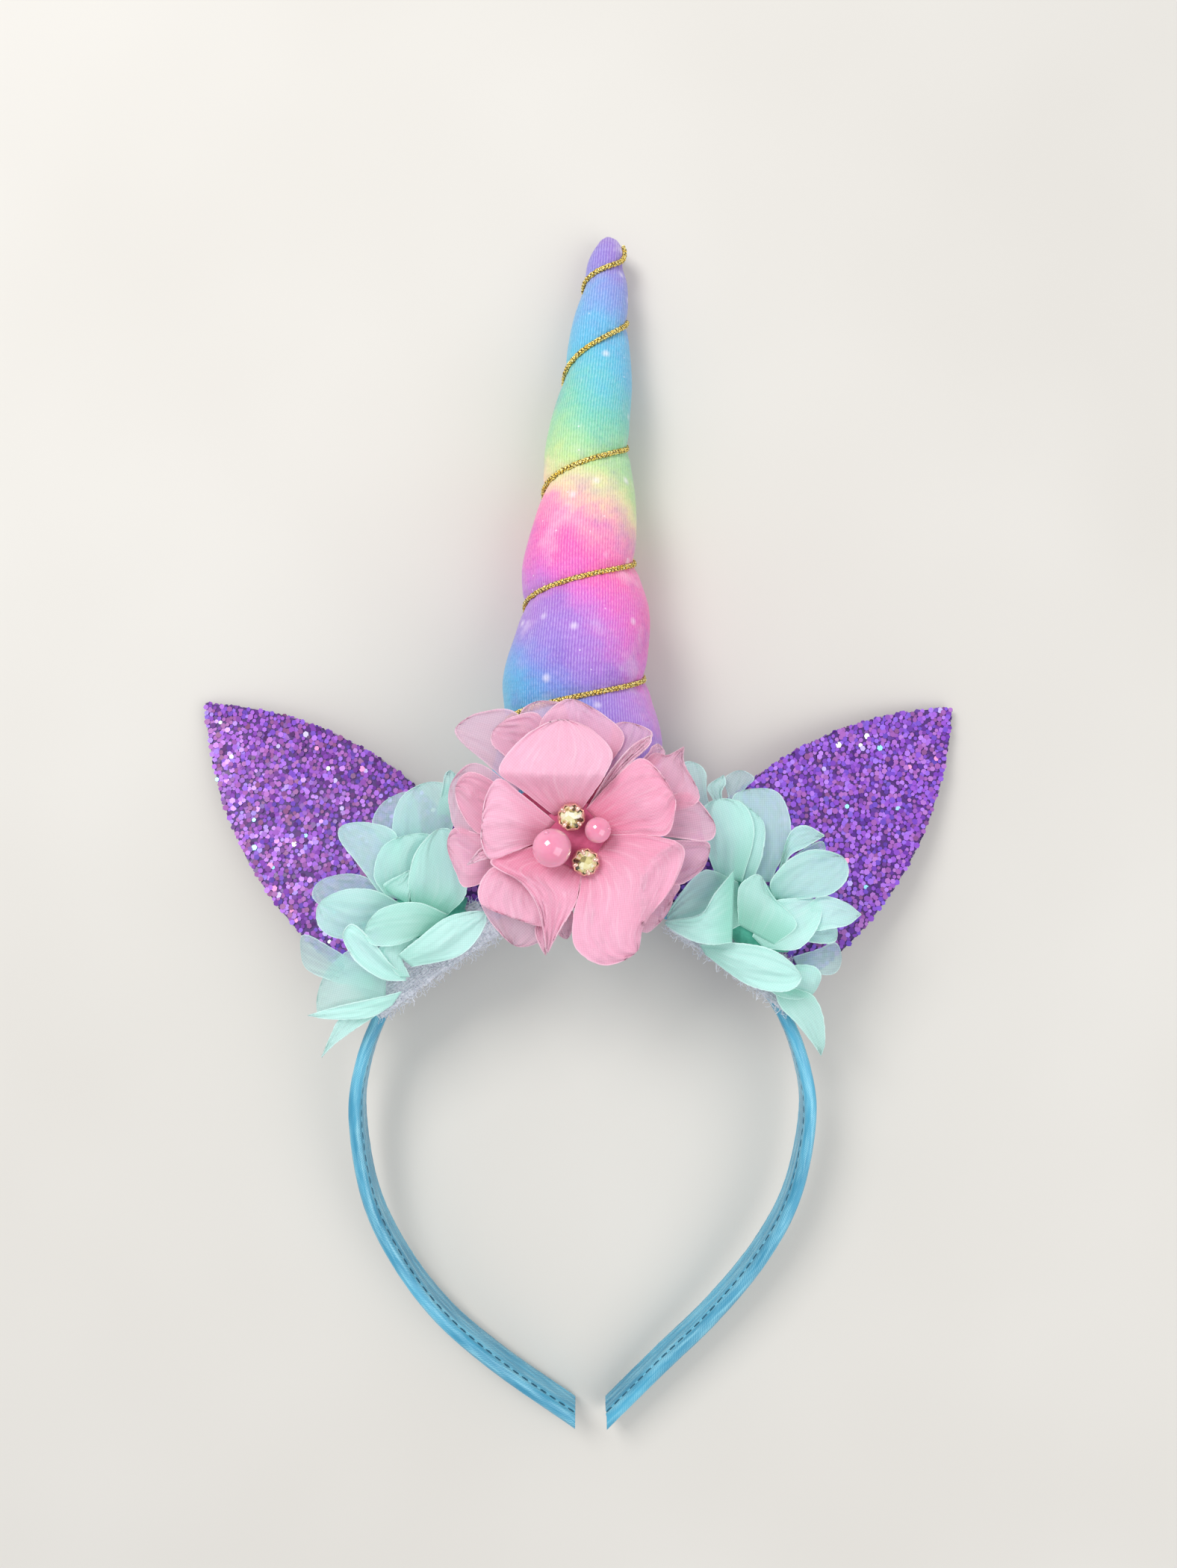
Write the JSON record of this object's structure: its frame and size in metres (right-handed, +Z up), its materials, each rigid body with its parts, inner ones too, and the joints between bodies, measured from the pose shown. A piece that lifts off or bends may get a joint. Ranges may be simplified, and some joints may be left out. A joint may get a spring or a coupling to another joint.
{
  "type": "unicorn horn headband",
  "caption": "Child's alice band with a stuffed unicorn horn wound with cord, glitter ears, chiffon petal clusters and a beaded chiffon flower.",
  "frame": {"origin": "on the surface that the headband lies on, under the middle of its box", "axes": "+Z up from that surface, out of the flowers' front; +Y along the horn towards its tip; +X to the right as the flowers are seen"},
  "size_m": [0.2026, 0.3178, 0.0575],
  "materials": {
    "satin": "light blue satin over a plastic core",
    "tape": "fuzzy woven tape",
    "horn_cloth": "printed knit cloth, rainbow clouds with soft specks",
    "gold_braid": "metallic braided cord",
    "glitter_sheet": "chunky glitter flakes",
    "mint_chiffon": "sheer chiffon with sealed edges",
    "pink_chiffon": "sheer crinkled chiffon with sealed edges",
    "pearl": "pearl coating",
    "crystal": "cut and foiled",
    "rose_gold": "rose gold plate"
  },
  "bodies": {
    "root": {"band": "satin", "tape_left": "tape", "tape_right": "tape", "horn": "horn_cloth", "gold_cord": "gold_braid", "ear_left": "glitter_sheet", "ear_right": "glitter_sheet", "mint_petals_left": "mint_chiffon", "mint_petals_right": "mint_chiffon", "flower_outer": "pink_chiffon", "flower_inner": "pink_chiffon", "pearl_large": "pearl", "pearl_small": "pearl", "stone_upper": "crystal", "stone_lower": "crystal", "setting_upper": "rose_gold", "setting_lower": "rose_gold"}
  },
  "joints": []
}
